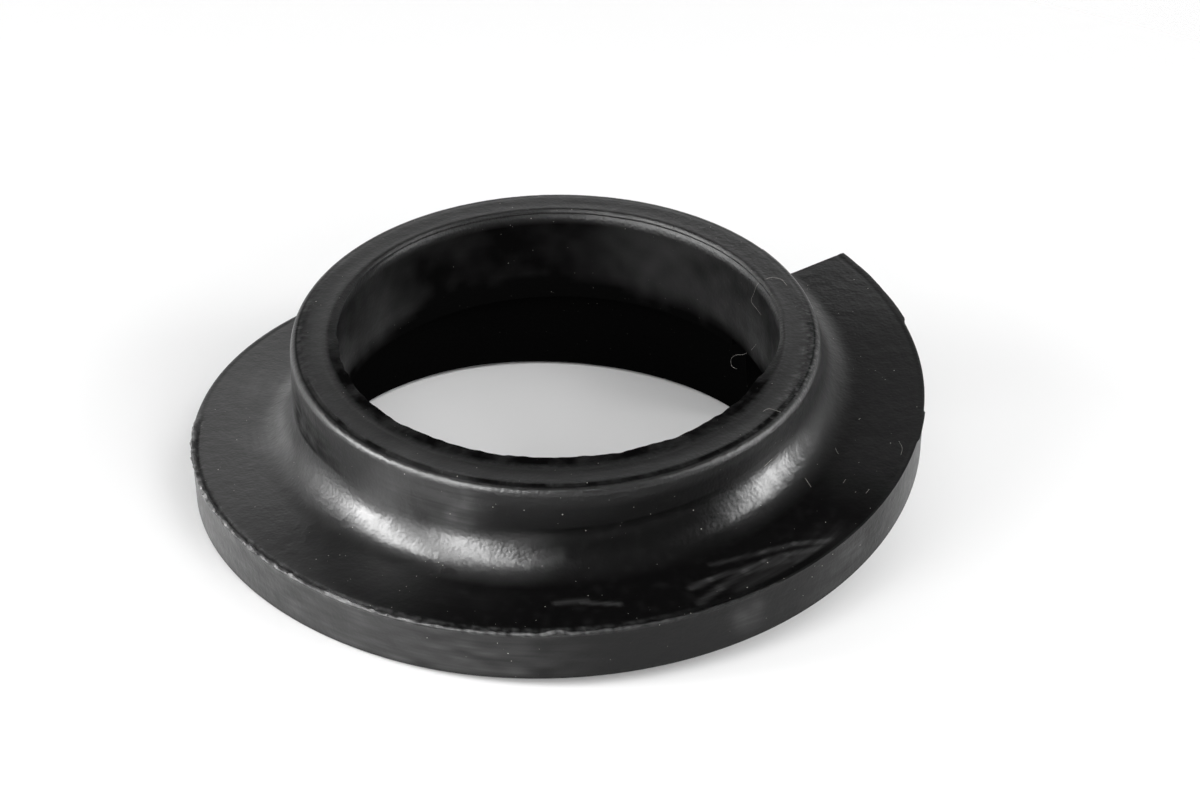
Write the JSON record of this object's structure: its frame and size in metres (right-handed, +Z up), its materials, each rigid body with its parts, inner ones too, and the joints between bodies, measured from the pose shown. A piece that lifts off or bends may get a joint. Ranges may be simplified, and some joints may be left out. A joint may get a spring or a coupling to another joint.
{
  "type": "coil spring insulator",
  "caption": "Moulded rubber seat ring for a coil spring: a round collar stands in a helical flange that climbs one turn and ends in a step, with a through bore.",
  "frame": {"origin": "on the axis of the collar, level with the lowest face of the underside", "axes": "+Z up along the axis of the collar, towards its rim; the step of the seat is 35 degrees from +X towards +Y"},
  "size_m": [0.1266, 0.1266, 0.0371],
  "materials": {
    "rubber": "satin moulded black rubber"
  },
  "bodies": {
    "root": {"spring_insulator": "rubber"}
  },
  "joints": []
}
